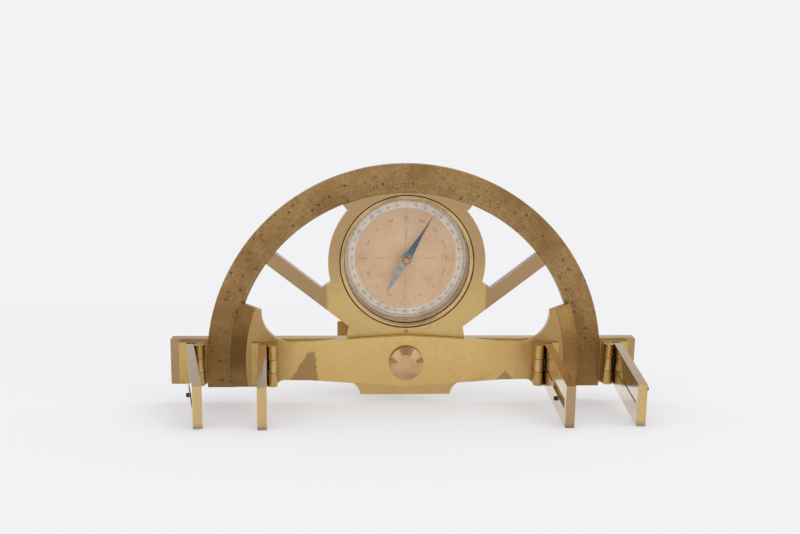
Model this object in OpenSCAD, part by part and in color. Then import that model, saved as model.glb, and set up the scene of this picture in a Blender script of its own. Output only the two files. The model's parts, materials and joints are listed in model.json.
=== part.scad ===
// Graphometer: a brass half-circle angle-measuring instrument with a compass, a turning
// alidade, four folding sights, and a ball knee with a staff socket behind it.
// It is drawn in its own frame, with the pivot line on y and the limb's face at y = 0,
// then leant forward so that it stands on its sight tips and on the mouth of its socket.

/* [Stance] */
// Forward lean of the limb when the instrument is set down, in degrees
lean = 9; // [6:0.5:12]

/* [Limb] */
// Outer radius of the graduated limb
limb_r = 95; // [92:0.5:105]
// Radial width of the limb
limb_w = 13.3; // [12:0.1:15]
// Thickness of the limb and of the frame behind it
limb_t = 5; // [4.8:0.1:6.5]
// How far the limb's ends pass below the pivot line
limb_drop = 13; // [12:0.1:14]

/* [Frame] */
// How far the straight bar passes the limb at each end
bar_over = 17.2; // [14:0.1:24]
// Height of the straight bar
bar_h = 22.4; // [21:0.1:23.5]
// Angle of the two spokes above the bar, in degrees
spoke_angle = 37.8; // [36:0.2:40]
// Width of a spoke
spoke_w = 6.8; // [6:0.2:8]
// Metal left round the compass bezel
seat_rim = 5.4; // [4.6:0.1:7]
// Width of the web between the bar and the compass
web_w = 54.8; // [48:0.2:58]
// Width of the foot below the pivot
foot_w = 43.4; // [38:0.2:48]
// How far that foot hangs below the bar
foot_h = 5.7; // [4:0.1:7]
// Radius of the hollow at each end of the foot
foot_hollow_r = 8; // [6.5:0.1:9]
// Length of the tongues that lie behind the limb
lap_len = 10; // [8:0.5:11]
// Radius of the small frame screws
screw_r = 1.2; // [0.9:0.05:1.4]

/* [Compass] */
// Height of the bezel's lower edge above the pivot line
bezel_rise = 16.4; // [15.6:0.1:17.6]
// Width of the bezel seen from the front
bezel_w = 2.1; // [1.8:0.1:3]
// Thickness of the bezel, with the glass in it
bezel_t = 2.2; // [1.8:0.1:2.4]
// Thickness of the glass
glass_t = 1.5; // [1:0.1:1.6]
// Wall of the compass box
box_wall = 1.4; // [1.1:0.1:2]
// Depth of the dial below the front of the bezel
dial_depth = 11.3; // [11:0.1:15]
// Thickness of the dial plate
dial_t = 1.2; // [0.8:0.1:2]
// Width of the degree ring
degree_w = 5.1; // [4:0.1:6]
// Thickness of the degree ring
degree_t = 1; // [0.6:0.1:1.5]
// Half width of the needle at its hub
needle_w = 2.2; // [1.9:0.1:2.3]
// Angle of the needle from the limb's top, in degrees
needle_angle = 30.6; // [0:0.2:90]

/* [Alidade] */
// Thickness of the alidade
alidade_t = 3; // [2.6:0.1:4]
// Height of the alidade at the pivot
alidade_mid_h = 25.2; // [23:0.2:26]
// Height of the alidade at its necks
alidade_neck_h = 18.3; // [17:0.1:19]
// How far the alidade's middle line lies above the pivot line
alidade_rise = 0.65; // [0:0.05:1]
// How far the verniers lap over the limb
vernier_lap = 1.8; // [1:0.1:4]
// Radial width of the verniers
vernier_w = 7; // [5:0.1:8]
// Angle of a vernier's upper edge above the pivot line, in degrees
vernier_angle = 20.5; // [19.5:0.1:22]
// How far a vernier passes below the pivot line
vernier_drop = 11.8; // [10.5:0.1:13]
// Radius of the hollow above each neck
flare_r = 14.4; // [13.8:0.1:14.8]

/* [Pivot] */
// Radius of the pivot screw's shank
pivot_r = 4; // [3.5:0.1:4.4]
// Radius of the pivot screw's head
head_r = 8.1; // [7:0.1:9.5]
// Thickness of the pivot screw's head
head_t = 3.4; // [2.5:0.1:4]

/* [Sights] */
// Length of a sight from its hinge pin to its tip
sight_l = 62; // [50:0.5:63]
// Width of a sight at its tip
sight_w = 18.3; // [16:0.1:20]
// Width of a sight at its hinge
sight_root_w = 19.8; // [17:0.1:20.4]
// Thickness of a sight
sight_t = 3.9; // [3.5:0.1:4.8]
// Radius of the hinge barrels
barrel_r = 2.4; // [2:0.1:2.7]
// Radius of the hinge pins
pin_r = 0.9; // [0.6:0.05:1.1]
// Height of the hinge base plates
base_h = 20.4; // [20:0.1:22]
// Width of the hinge base plates
base_w = 12.4; // [11.6:0.1:13.6]
// Thickness of the base plates on the bar
outer_base_t = 3.4; // [2.5:0.1:4]
// Thickness of the base plates on the alidade
inner_base_t = 2; // [1.5:0.1:3]
// Distance of the outer hinge pins outside the limb
outer_hinge = 2.8; // [2.7:0.1:4]
// Space between the inner base plates and the verniers
inner_space = 2.9; // [2:0.1:3.4]
// Width of the wide window in each sight
window_w = 4.4; // [2:0.1:5]
// Width of the narrow slit in each sight
slit_w = 0.8; // [0.5:0.1:1.2]
// Inward lean of the outer left sight, in degrees
lean_outer_left = 11; // [0:0.5:16]
// Inward lean of the inner left sight, in degrees
lean_inner_left = 4; // [0:0.5:12]
// Inward lean of the inner right sight, in degrees
lean_inner_right = 3; // [0:0.5:12]
// Inward lean of the outer right sight, in degrees
lean_outer_right = 6; // [0:0.5:16]

/* [Knee] */
// Radius of the ball
ball_r = 9.5; // [9:0.1:10]
// Distance of the ball's centre behind the frame
ball_back = 22; // [20:0.5:26]
// Radius of the ball's neck
neck_r = 3.4; // [3.2:0.1:3.6]
// Wall of the shells that hold the ball
shell_wall = 3.5; // [2.8:0.1:4.5]
// Radius of the split stalk below the ball
stalk_r = 8; // [7:0.1:9]
// Distance of the clamp screw behind the ball's centre
clamp_back = 15.5; // [15.2:0.1:16]
// Radius of the clamp screw
clamp_r = 2.5; // [2:0.1:2.8]
// Reach of the clamp screw's wings from its axis
wing_reach = 14.2; // [12:0.1:15]
// Thickness of that flange
flange_t = 3.2; // [2.8:0.1:3.6]

/* [Socket] */
// Radius of the socket's bore for the staff
socket_bore_r = 9; // [8:0.1:10]
// Wall of the socket tube
socket_wall = 2; // [1.6:0.1:3]
// Depth of the socket's bore
socket_depth = 36; // [28:0.5:44]
// Width of the bead round the socket's mouth
bead_w = 1; // [0.6:0.1:1.6]

/* [Hidden] */
$fn = 96;
// Clearances: between bodies, in a turning fit, and round an inlaid piece
body_gap = 0.3;
fit_gap = 0.05;
joint_gap = 0.1;
eps = 1;

// Limb and frame
limb_in = limb_r - limb_w;
lap_t = limb_t / 2;
lap_r = limb_in + lap_len;
screw_ring_r = limb_in + lap_len / 2;
screw_head_r = 1.8 * screw_r;
screw_head_t = 1.2;
screw_depth = limb_t - 0.8;
bar_len = 2 * (limb_r + bar_over);
bar_corner = 0.7;
bar_shoulder = 1.2;
bar_screw_z = bar_h / 4;
seat_screw_angle = 9;
notch_out = 7.5;
notch_down = 5;
notch_in = 6;
notch_up = 4;

// Compass, which lies below the alidade's plane so that the alidade can pass over it
seat_gap = 1.3;
bezel_r = (limb_in - seat_gap - bezel_rise) / 2;
compass_z = bezel_rise + bezel_r;
seat_r = bezel_r + seat_rim;
bezel_front = 0.05;
bezel_in = bezel_r - bezel_w;
glass_r = bezel_r - 1.3;
box_in = bezel_in - 0.3;
box_out = box_in + box_wall;
flange_back = bezel_front + bezel_t + 1.2;
box_floor_t = 1.4;
box_back = dial_depth + dial_t + box_floor_t;
box_nut_t = 2.4;
box_nut_r = box_out + 3.2;
dial_r = box_in - joint_gap;
degree_in = dial_r - degree_w;
// The needle's north arm is long and slender, and its south arm short and heavier, in balance
needle_l = degree_in + 0.2;
needle_tail = 0.73 * needle_l;
waist_l = needle_l / 2;
waist_w = 0.34 * needle_w;
tail_w = (waist_l * waist_l / (needle_tail * needle_tail) * (needle_w + 6 * waist_w) - needle_w) / 2;
blade_t = 0.5;
blade_y = dial_depth - 5;
cap_r = 1.7;
cap_front = blade_y - 3;
hub_r = cap_r + 0.7;
tip_y = cap_front + 1.5;

// Alidade
alidade_back = -body_gap;
alidade_front = alidade_back - alidade_t;
ledge_y = alidade_back - alidade_t / 2;
vernier_r = limb_in + vernier_lap;
vernier_in = vernier_r - vernier_w;
inner_hinge = vernier_in - inner_space - (base_w - barrel_r);
neck_x = inner_hinge - 4.6;
neck_top = alidade_rise + alidade_neck_h / 2;
neck_bottom = alidade_rise - alidade_neck_h / 2;
taper_x = neck_x - 13;
flare_x = neck_x - 4.6;
flare_z = flare_r + neck_top + 0.3;
end_hollow_r = 4.5;
washer_t = 0.6;
washer_r = head_r - 0.7;
head_back = alidade_front - body_gap - washer_t;
head_front = head_back - head_t;
head_flat_r = head_r - 3.3;
head_bevel = 1.9;

// Sights
axis_h = barrel_r + joint_gap;
face_x = barrel_r + 0.15;
far_x = face_x + sight_t;
base_inner_x = -barrel_r;
knuckle_z = sight_w / 6;
knuckle_end = base_h / 2 - 0.3;
knuckle_gap = 0.2;
outer_x = limb_r + outer_hinge;
outer_y = -outer_base_t - axis_h;
inner_y = alidade_front - inner_base_t - axis_h;
far_from = 0.45 * sight_l;
far_to = 0.94 * sight_l;
near_from = 0.11 * sight_l;
near_to = 0.40 * sight_l;
peg_r = 1;
peg_at_outer_left = [0.43 * sight_l, -0.32 * sight_w];
peg_at_inner_left = [0.43 * sight_l, 0.26 * sight_w];
peg_at_inner_right = [0.61 * sight_l, -0.23 * sight_w];
peg_at_outer_right = [0.94 * sight_l, 0.34 * sight_w];
hair_r = 0.15;

// Knee and socket, drawn along their own axis from the ball's centre
ball_y = limb_t + ball_back;
// The flange leaves room for the compass box's nut above it
flange_r = min(14, compass_z - box_nut_r - 0.4);
boss_r = 6.8;
boss_back = limb_t + flange_t + 2.8;
spigot_r = pivot_r + 0.5;
tail_r = pivot_r - 1;
collar_r = 6;
shell_r = ball_r + shell_wall;
mouth_y = -0.63 * ball_r;
stalk_back = clamp_back + 5.5;
clamp_face = stalk_r + 1;
tube_r = socket_bore_r + socket_wall;
bead_r = tube_r + bead_w;
tube_back = stalk_back + 5 + socket_depth;
lock_y = tube_back - socket_depth / 2;
lock_r = 2.2;
lock_boss_z = tube_r + 3;
flange_screw_r = flange_r - 2.9;
flange_grip = 3.5;
wing_stem = 19.9;
wing_w = 3.9;
wing_corner = 0.6;
steady_pin_r = 0.75;
steady_pin_z = bezel_rise - 1.7;

// Stance: the inner sight tips and the socket's mouth reach the ground together
function reach(axis_y, angle) = -axis_y + sight_l * cos(angle) + far_x * sin(angle);
front_reach = max(reach(outer_y, lean_outer_left), reach(outer_y, lean_outer_right),
                  reach(inner_y, lean_inner_left), reach(inner_y, lean_inner_right));
stand_h = sight_w / 2 * cos(lean) + front_reach * sin(lean);
ball_h = stand_h + ball_y * sin(lean);
droop = asin(ball_h / norm([tube_back, bead_r])) - atan2(bead_r, tube_back);
knee_tilt = lean + droop;
front_y = -(front_reach * cos(lean) + sight_w / 2 * sin(lean));
rear_y = ball_y * cos(lean) + tube_back * cos(droop) + bead_r * sin(droop);
centre_y = -(front_y + rear_y) / 2;

brass = "goldenrod";
dull_brass = "darkgoldenrod";
dark_brass = "peru";
steel = "slategray";

// Helpers

// Stands the instrument on the ground with the origin below the middle of its box
module stand() {
    translate([0, centre_y, stand_h]) rotate([lean, 0, 0]) children();
}

// Moves a piece from the knee's own axis to the ball's centre
module knee() {
    stand() translate([0, ball_y, 0]) rotate([-knee_tilt, 0, 0]) children();
}

// Extrudes an outline drawn in x and z from y = from_y to y = to_y
module plate(from_y, to_y) {
    translate([0, to_y, 0]) rotate([90, 0, 0]) linear_extrude(to_y - from_y) children();
}

// Turns a profile of [radius, y] points about the y axis
module turned(points) {
    rotate([-90, 0, 0]) rotate_extrude() polygon(points);
}

// A plain rod along y
module rod(r, from_y, to_y) {
    translate([0, from_y, 0]) rotate([-90, 0, 0]) cylinder(r = r, h = to_y - from_y);
}

// A ring along y
module ring(r_out, r_in, from_y, to_y) {
    difference() {
        rod(r_out, from_y, to_y);
        rod(r_in, from_y - eps, to_y + eps);
    }
}

module both_sides() {
    children();
    mirror([1, 0, 0]) children();
}

// Outlines of the frame and the limb

module bar_outline(grow = 0) {
    w = bar_len / 2 - bar_corner;
    h = bar_h / 2 - bar_corner;
    square([bar_len + 2 * grow, 2 * (h + grow)], center = true);
    square([2 * w, bar_h + 2 * grow], center = true);
    for (x = [-w, w], z = [-h, h]) translate([x, z]) circle(bar_corner + grow);
}

module spoke_outline(grow = 0) {
    both_sides() rotate(spoke_angle) translate([0, -spoke_w / 2 - grow])
        square([lap_r, spoke_w + 2 * grow]);
}

// What is cut from under the bar between the foot and the limb, with a hollow at each end
module bar_relief() {
    foot_z = -bar_h / 2 - foot_h;
    shoulder_z = bar_shoulder - bar_h / 2;
    rise = shoulder_z - foot_hollow_r - foot_z;
    foot_x = foot_w / 2 + sqrt(foot_hollow_r * foot_hollow_r - rise * rise);
    end_z = neck_bottom + 0.1;
    both_sides() {
        translate([foot_x, shoulder_z - foot_hollow_r]) circle(foot_hollow_r);
        translate([neck_x - 0.5, end_z - end_hollow_r]) circle(end_hollow_r);
        polygon([[foot_x, foot_z - foot_hollow_r], [neck_x - 0.5, foot_z - foot_hollow_r],
                 [neck_x - 0.5, end_z], [foot_x, shoulder_z]]);
    }
}

// The straight bar with the foot below the pivot
module footed_bar() {
    block = foot_w / 2 + foot_hollow_r;
    difference() {
        union() {
            bar_outline();
            translate([-block, -bar_h / 2 - foot_h]) square([2 * block, foot_h + eps]);
        }
        bar_relief();
    }
}

// Small webs where the seat meets the spokes and the limb
module seat_corners() {
    notch = [seat_r * cos(-15), compass_z + seat_r * sin(-15)];
    root = 0.8 * compass_z * [cos(spoke_angle), sin(spoke_angle)];
    corner = [root, notch + [notch_out, -notch_down], notch + [-notch_in, notch_up]];
    polygon(corner);
    polygon([for (p = [corner[2], corner[1], corner[0]]) [-p[0], p[1]]]);
    function on_seat(r, angle) = [r * sin(angle), compass_z + r * cos(angle)];
    intersection() {
        circle(limb_in - 2 * joint_gap);
        both_sides() polygon([limb_in * [sin(22), cos(22)], limb_in * [sin(15), cos(15)],
                              on_seat(seat_r - 2, 40), on_seat(seat_r + 0.4, 49)]);
    }
}

// The web between the bar and the compass, a little wider where it stands on the bar
module web_outline() {
    half = web_w / 2;
    polygon([[-half - 0.9, 0], [half + 0.9, 0], [half + 0.9, bar_h / 2], [half, bezel_rise],
             [half, compass_z], [-half, compass_z], [-half, bezel_rise],
             [-half - 0.9, bar_h / 2]]);
}

module frame_outline() {
    footed_bar();
    web_outline();
    intersection() {
        circle(lap_r);
        union() {
            spoke_outline();
            translate([0, compass_z]) circle(seat_r);
        }
    }
    seat_corners();
}

// What the frame's tongues take out of the limb's back
module tongue_outline() {
    bar_outline(joint_gap);
    intersection() {
        circle(lap_r + joint_gap);
        union() {
            spoke_outline(joint_gap);
            translate([0, compass_z]) circle(seat_r + joint_gap);
        }
    }
}

// A circle that runs on straight down from the pivot line
module stilted(r, down) {
    circle(r);
    translate([-r, -down]) square([2 * r, down]);
}

module limb_outline(grow = 0) {
    down = limb_drop + grow;
    intersection() {
        difference() {
            stilted(limb_r + grow, down);
            stilted(limb_in - grow, down + eps);
        }
        translate([-limb_r - eps, -down]) square([2 * (limb_r + eps), limb_r + down + eps]);
    }
}

// Centres of the screws that hold the limb on the frame, as [x, z]
limb_screw_points = [
    for (side = [-1, 1], z = [-bar_screw_z, bar_screw_z]) [side * screw_ring_r, z],
    for (side = [-1, 1]) screw_ring_r * [side * cos(spoke_angle), sin(spoke_angle)],
    for (side = [-1, 1]) screw_ring_r * [side * sin(seat_screw_angle), cos(seat_screw_angle)]
];

// Centres of the screws that hold the knee flange, as [x, z]
flange_screw_points = [for (a = [30, 150, 270]) flange_screw_r * [cos(a), sin(a)]];

// A cheese-head screw that enters the frame from behind, with its head seated at seat_y
module back_screw(seat_y, depth, slot = true) {
    difference() {
        union() {
            rod(screw_r, seat_y - depth, seat_y + screw_head_t / 2);
            rod(screw_head_r, seat_y, seat_y + screw_head_t);
        }
        if (slot) translate([-screw_head_r - eps, seat_y + screw_head_t / 2, -0.25])
            cube([2 * (screw_head_r + eps), screw_head_t, 0.5]);
    }
}

module at_points(points) {
    for (p = points) translate([p[0], 0, p[1]]) children();
}

// Limb and frame

module graduated_limb() {
    color(dull_brass) stand() difference() {
        plate(0, limb_t) limb_outline();
        plate(lap_t, limb_t + eps) tongue_outline();
        at_points(limb_screw_points) rod(screw_r + joint_gap, limb_t - screw_depth - 0.2, limb_t);
    }
}

module cross_frame() {
    color(brass) stand() difference() {
        plate(0, limb_t) frame_outline();
        plate(-eps, lap_t) limb_outline(joint_gap);
        rod(pivot_r + fit_gap, -eps, limb_t + eps);
        at_compass() rod(box_out + joint_gap, -eps, limb_t + eps);
        at_compass() rod(bezel_r + joint_gap, -eps, flange_back);
        at_points(limb_screw_points) rod(screw_r + joint_gap, 0, limb_t + eps);
        at_points(flange_screw_points) rod(screw_r + joint_gap, limb_t - flange_grip - 0.2, limb_t + eps);
        translate([0, 0, steady_pin_z]) rod(steady_pin_r + fit_gap, -eps, limb_t - 0.6);
    }
}

module limb_screws() {
    color(steel) stand() at_points(limb_screw_points) back_screw(limb_t, screw_depth);
}

// Compass

module at_compass() {
    translate([0, 0, compass_z]) children();
}

module compass_box() {
    flange_front = bezel_front + bezel_t;
    color(brass) stand() at_compass() turned([
        [box_in, flange_front], [bezel_r, flange_front], [bezel_r, flange_back],
        [box_out, flange_back], [box_out, box_back], [0, box_back],
        [0, dial_depth + dial_t], [box_in, dial_depth + dial_t]
    ]);
}

// Ring nut that holds the box from behind, with two notches for a spanner
module box_nut() {
    color(brass) stand() at_compass() difference() {
        ring(box_nut_r, box_out + fit_gap, limb_t, limb_t + box_nut_t);
        for (side = [-1, 1]) translate([side * box_nut_r - 1.5, limb_t + 1, -1.5])
            cube([3, box_nut_t, 3]);
    }
}

module dial_plate() {
    color("peachpuff") stand() at_compass()
        ring(dial_r, cap_r - 0.9, dial_depth, dial_depth + dial_t);
}

module degree_ring() {
    color("silver") stand() at_compass()
        ring(dial_r, degree_in, dial_depth - degree_t, dial_depth);
}

// Steel point that carries the needle, with a collar on the dial
module needle_pivot() {
    pin = cap_r - 1;
    color(steel) stand() at_compass() turned([
        [0, tip_y + 0.1], [0.1, tip_y + 0.1], [pin, tip_y + 1.2],
        [pin, dial_depth - 0.6], [pin + 1.3, dial_depth - 0.6], [pin + 1.3, dial_depth],
        [pin, dial_depth], [pin, dial_depth + dial_t], [0, dial_depth + dial_t]
    ]);
}

module needle() {
    color("steelblue") stand() at_compass() rotate([0, needle_angle, 0])
        plate(blade_y, blade_y + blade_t) difference() {
            polygon([[0, needle_l], [waist_w, waist_l], [needle_w, 0], [tail_w, -needle_tail],
                     [-tail_w, -needle_tail], [-needle_w, 0], [-waist_w, waist_l]]);
            circle(cap_r - 0.05);
        }
}

// Jewelled cap that rides on the point, through the needle's hub
module needle_cap() {
    tail = cap_r - 0.1;
    color(dark_brass) stand() at_compass() turned([
        [0, cap_front], [0.8 * cap_r, cap_front], [cap_r, cap_front + 0.5],
        [cap_r, blade_y - 0.4], [hub_r, blade_y - 0.4], [hub_r, blade_y],
        [tail, blade_y], [tail, blade_y + blade_t + 0.4], [tail - 0.5, blade_y + blade_t + 0.4],
        [tail - 0.5, tip_y + 0.7], [0.2, tip_y], [0, tip_y]
    ]);
}

module compass_glass() {
    back = bezel_front + bezel_t;
    color([0.8, 0.9, 0.9, 0.35]) stand() at_compass() rod(glass_r, back - glass_t, back);
}

module compass_bezel() {
    back = bezel_front + bezel_t;
    lip = back - glass_t - 0.02;
    color(brass) stand() at_compass() turned([
        [bezel_in + 1.1, bezel_front], [bezel_r - 0.5, bezel_front],
        [bezel_r, bezel_front + 0.5], [bezel_r, back], [glass_r + joint_gap, back],
        [glass_r + joint_gap, lip], [bezel_in, lip], [bezel_in, lip - 0.15]
    ]);
}

// Alidade

// Corners of one half of the alidade, before its edge and its hollows are cut round
function alidade_corners(side) =
    let (mid = alidade_mid_h / 2, far = vernier_r + 20, top_x = flare_x - 1)
    [for (p = [[0, alidade_rise + mid], [taper_x, neck_top + 0.6], [top_x, neck_top + 0.55],
               [top_x, top_x * tan(vernier_angle)], [far, far * tan(vernier_angle)],
               [far, -vernier_drop], [neck_x - 1, -vernier_drop], [neck_x - 1, neck_bottom],
               [taper_x, neck_bottom - 0.2], [0, alidade_rise - mid]])
        [side * p[0], p[1]]];

module alidade_outline() {
    difference() {
        intersection() {
            circle(vernier_r);
            union() {
                polygon(alidade_corners(1));
                polygon(alidade_corners(-1));
                translate([0, alidade_rise]) square([20, alidade_mid_h - 2], center = true);
            }
        }
        both_sides() {
            translate([flare_x, flare_z]) circle(flare_r);
            translate([neck_x - 1, neck_bottom - end_hollow_r]) circle(end_hollow_r);
        }
    }
}

module alidade_bar() {
    color(brass) stand() difference() {
        plate(alidade_front, alidade_back) alidade_outline();
        plate(alidade_front - eps, ledge_y) difference() {
            circle(vernier_r + 5);
            circle(vernier_in);
        }
        rod(pivot_r + fit_gap, alidade_front - eps, alidade_back + eps);
    }
}

// Divided strip let into the alidade's right end
module vernier_strip() {
    plate(alidade_front, ledge_y) difference() {
        intersection() {
            alidade_outline();
            translate([0, -vernier_r]) square(2 * vernier_r);
        }
        circle(vernier_in + joint_gap);
    }
}

module vernier_right() {
    color(dull_brass) stand() vernier_strip();
}

module vernier_left() {
    color(dull_brass) stand() mirror([1, 0, 0]) vernier_strip();
}

// Pivot

module pivot_screw() {
    color(dark_brass) stand() turned([
        [0, head_front], [head_flat_r, head_front], [head_r, head_front + head_bevel],
        [head_r, head_back], [pivot_r, head_back], [pivot_r, limb_t + body_gap],
        [tail_r, limb_t + body_gap], [tail_r, boss_back - 1.4], [0, boss_back - 1.4]
    ]);
}

module pivot_washer() {
    color(brass) stand()
        ring(washer_r, pivot_r + fit_gap, head_back, head_back + washer_t);
}

// Knee

module knee_flange() {
    color(brass) stand() difference() {
        union() {
            rod(flange_r, limb_t, limb_t + flange_t);
            rod(boss_r, limb_t, boss_back);
        }
        rod(spigot_r + fit_gap, limb_t - eps, boss_back + eps);
        at_points(flange_screw_points) rod(screw_r + joint_gap, limb_t - eps, boss_back);
    }
}

module flange_screws() {
    color(steel) stand() at_points(flange_screw_points)
        back_screw(limb_t + flange_t, flange_t + flange_grip);
}

module steady_pin() {
    color("dimgray") stand() translate([0, 0, steady_pin_z])
        rod(steady_pin_r, 0.05, limb_t - 0.6);
}

// Ball on its neck, with a collar and a spigot in the flange's boss
module ball_stem() {
    neck_end = ball_y - sqrt(ball_r * ball_r - neck_r * neck_r);
    shoulder = boss_back + body_gap;
    spigot_front = limb_t + 0.7;
    color(brass) stand() difference() {
        union() {
            translate([0, ball_y, 0]) sphere(ball_r);
            turned([
                [0, spigot_front], [spigot_r, spigot_front], [spigot_r, shoulder],
                [collar_r, shoulder], [collar_r, shoulder + 1.6], [neck_r, shoulder + 2.8],
                [neck_r, neck_end + 1], [0, neck_end + 1]
            ]);
        }
        rod(tail_r + fit_gap, limb_t, boss_back - 1);
    }
}

// The outer form that the two shells share, before it is split
module shell_form(back) {
    sphere(shell_r);
    rod(stalk_r, 0, back);
}

// The hollow for the ball and the open mouth before it
module ball_hollow() {
    sphere(ball_r + fit_gap);
    translate([-2 * shell_r, mouth_y - 2 * shell_r, -2 * shell_r])
        cube([4 * shell_r, 2 * shell_r, 4 * shell_r]);
}

// A rod across the knee, along x
module cross_rod(r, from_x, to_x) {
    translate([from_x, clamp_back, 0]) rotate([0, 90, 0]) cylinder(r = r, h = to_x - from_x);
}

// Fixed shell, stalk and tube in one piece
module socket_tube() {
    half = 4 * shell_r;
    color(brass) knee() difference() {
        union() {
            difference() {
                union() {
                    shell_form(stalk_back + 1);
                    cross_rod(2 * clamp_r, 0, clamp_face);
                }
                translate([body_gap - half, stalk_back - half, -half / 2])
                    cube([half, half, half]);
            }
            turned([
                [0, stalk_back], [tube_r - 1, stalk_back], [tube_r, stalk_back + 1],
                [tube_r, tube_back - 4], [bead_r, tube_back - 3.4],
                [bead_r, tube_back], [0, tube_back]
            ]);
            translate([0, lock_y, 0]) cylinder(r = 2 * lock_r, h = lock_boss_z);
        }
        ball_hollow();
        cross_rod(clamp_r + fit_gap, -eps, clamp_face + eps);
        rod(socket_bore_r, tube_back - socket_depth, tube_back + eps);
        translate([0, lock_y, 0]) cylinder(r = lock_r + fit_gap, h = lock_boss_z + eps);
    }
}

// Loose shell that the clamp screw draws against the ball
module clamp_shell() {
    color(brass) knee() difference() {
        intersection() {
            union() {
                shell_form(stalk_back - body_gap);
                cross_rod(2 * clamp_r, -clamp_face, 0);
            }
            translate([-4 * shell_r, -2 * shell_r, -2 * shell_r])
                cube([4 * shell_r - body_gap, 4 * shell_r, 4 * shell_r]);
        }
        ball_hollow();
        cross_rod(clamp_r + fit_gap, -clamp_face - eps, eps);
    }
}

// One wing of the clamp screw, in x and z, a flat plate with rounded corners
module wing_outline() {
    half = wing_w - wing_corner;
    translate([-wing_w, 0]) square([2 * wing_w, wing_reach - wing_corner]);
    translate([-half, 0]) square([2 * half, wing_reach]);
    for (x = [-half, half]) translate([x, wing_reach - wing_corner]) circle(wing_corner);
}

// Winged clamp screw, which enters the loose shell and threads into the fixed one
module clamp_screw() {
    collar = -clamp_face - body_gap;
    wing_x = collar - wing_stem;
    color(brass) knee() {
        cross_rod(clamp_r, collar - 2, clamp_face - 1);
        cross_rod(clamp_r + 2, collar - 2.5, collar);
        cross_rod(clamp_r + 1, wing_x, collar - 1);
        translate([wing_x, clamp_back, 0]) plate(-1.2, 1.2) {
            wing_outline();
            mirror([0, 1]) wing_outline();
        }
    }
}

// Thumb screw that locks the socket on its staff
module staff_screw() {
    head = lock_boss_z + body_gap;
    color(brass) knee() translate([0, lock_y, 0]) {
        translate([0, 0, socket_bore_r + 0.3]) cylinder(r = lock_r, h = head - socket_bore_r);
        translate([0, 0, head]) cylinder(r = lock_r + 1, h = 1.5);
        translate([0, 0, head + 1.2]) cylinder(r = 2.5 * lock_r, h = 3.6);
    }
}

// Sights, drawn for the right side with their hinge pin at the origin along z.
// The sight stands on the outer side of its barrel and folds towards the pivot.

module place_sight(x, y) {
    translate([x, y, 0]) children();
}

module knuckle(from_z, to_z) {
    translate([0, 0, from_z]) cylinder(r = barrel_r, h = to_z - from_z);
}

// Base plate with the two outer knuckles
module sight_base(base_t) {
    difference() {
        union() {
            translate([base_inner_x, axis_h, -base_h / 2]) cube([base_w, base_t, base_h]);
            for (side = [0, 1]) mirror([0, 0, side]) {
                knuckle(knuckle_z + knuckle_gap, knuckle_end);
                translate([-barrel_r, 0, knuckle_z + knuckle_gap])
                    cube([2 * barrel_r, axis_h + 0.5, knuckle_end - knuckle_z - knuckle_gap]);
            }
        }
        translate([0, 0, -base_h]) cylinder(r = pin_r + fit_gap, h = 2 * base_h);
    }
}

// Outline of a sight in y and z, a little wider at its hinge than at its tip
module sight_outline() {
    root = sight_root_w / 2;
    tip = sight_w / 2;
    root_y = axis_h - body_gap;
    polygon([[-sight_l, -tip], [root_y, -root], [root_y, root], [-sight_l, tip]]);
}

// Sight plate with its middle knuckle, slit and window.
// The block that joins the knuckle to the plate is behind the barrel.
module sight_plate(far_w, near_w, peg_side, peg_at) {
    difference() {
        union() {
            translate([face_x, 0, 0]) rotate([90, 0, 90])
                linear_extrude(height = sight_t) sight_outline();
            knuckle(-knuckle_z, knuckle_z);
            translate([0, 0, -knuckle_z]) cube([face_x + 0.1, barrel_r, 2 * knuckle_z]);
        }
        translate([0, 0, -sight_w]) cylinder(r = pin_r + fit_gap, h = 2 * sight_w);
        sight_cut(far_w, far_from, far_to);
        sight_cut(near_w, near_from, near_to);
        if (far_w == slit_w) slit_end(far_from);
        if (near_w == slit_w) slit_end(near_to);
        peg_place(peg_side, peg_at) rod_x(peg_r / 2 + fit_gap, -1.8, eps);
        hair_hole(far_w, near_w);
    }
}

// A cut through the sight, along its length
module sight_cut(w, from_l, to_l) {
    translate([face_x - eps, -to_l, -w / 2]) cube([sight_t + 2 * eps, to_l - from_l, w]);
}

// Small round hole at the end of a slit
module slit_end(at_l) {
    translate([face_x - eps, -at_l, 0]) rotate([0, 90, 0])
        cylinder(r = 0.8, h = sight_t + 2 * eps);
}

module rod_x(r, from_x, to_x) {
    translate([from_x, 0, 0]) rotate([0, 90, 0]) cylinder(r = r, h = to_x - from_x);
}

// Puts a peg on the inner (-1) or outer (1) face, with its shank towards -x
module peg_place(side, at) {
    translate([side > 0 ? far_x : face_x, -at[0], at[1]])
        mirror([side > 0 ? 0 : 1, 0, 0]) children();
}

// Length of the sighting hair and its holes past each end of the window
hair_grip = 1;

function hair_from(far_w) = (far_w == window_w ? far_from : near_from) - hair_grip;
function hair_to(far_w) = (far_w == window_w ? far_to : near_to) + hair_grip;

module hair_rod(far_w, r) {
    translate([face_x + sight_t / 2, -hair_to(far_w), 0])
        rotate([-90, 0, 0]) cylinder(r = r, h = hair_to(far_w) - hair_from(far_w));
}

module hair_hole(far_w, near_w) {
    hair_rod(far_w, hair_r + fit_gap);
}

module sight_peg(side, at) {
    peg_place(side, at) {
        rod_x(peg_r / 2, -1.7, 0.2);
        rod_x(peg_r, 0, 0.8);
        translate([0.8, 0, 0]) rotate([0, 90, 0]) cylinder(r1 = peg_r, r2 = 0.6 * peg_r, h = 0.4);
    }
}

module hinge_pin() {
    half = knuckle_end + 0.15;
    translate([0, 0, -half]) cylinder(r = pin_r, h = 2 * half);
}

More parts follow.
